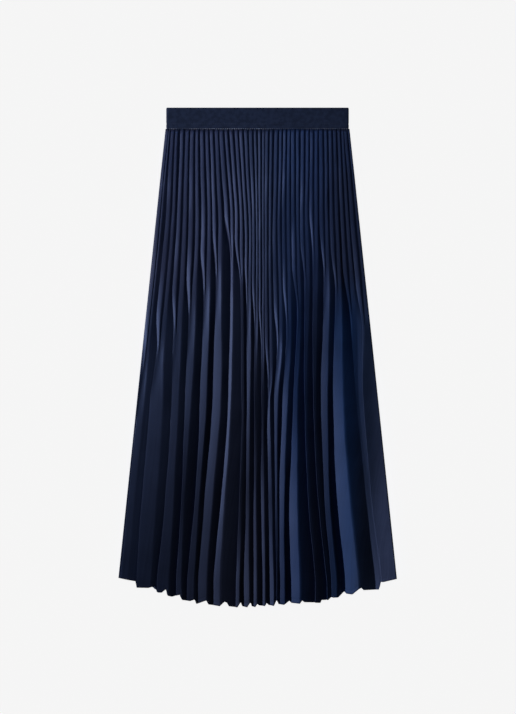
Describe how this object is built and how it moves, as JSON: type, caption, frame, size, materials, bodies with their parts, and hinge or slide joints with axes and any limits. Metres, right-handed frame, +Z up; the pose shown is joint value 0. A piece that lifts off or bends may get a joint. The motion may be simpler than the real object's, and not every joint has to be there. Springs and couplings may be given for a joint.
{
  "type": "pleated midi skirt",
  "caption": "Long pleated skirt with a wide elastic waistband, laid flat on its back: fine pleats at the waist run together into wide pleats towards the hem.",
  "frame": {"origin": "on the surface that the skirt lies on, under the middle of its box", "axes": "+Z up, away from the surface; +Y from the hem towards the waist; +X to the right for someone who looks down at the front with the waist at the top"},
  "size_m": [0.4592, 0.824, 0.0226],
  "materials": {
    "cloth": "dark navy pleated satin with a soft sheen",
    "elastic": "dark navy matt knitted elastic"
  },
  "bodies": {
    "root": {"waistband": "elastic", "front_panel": "cloth", "back_panel": "cloth"}
  },
  "joints": []
}
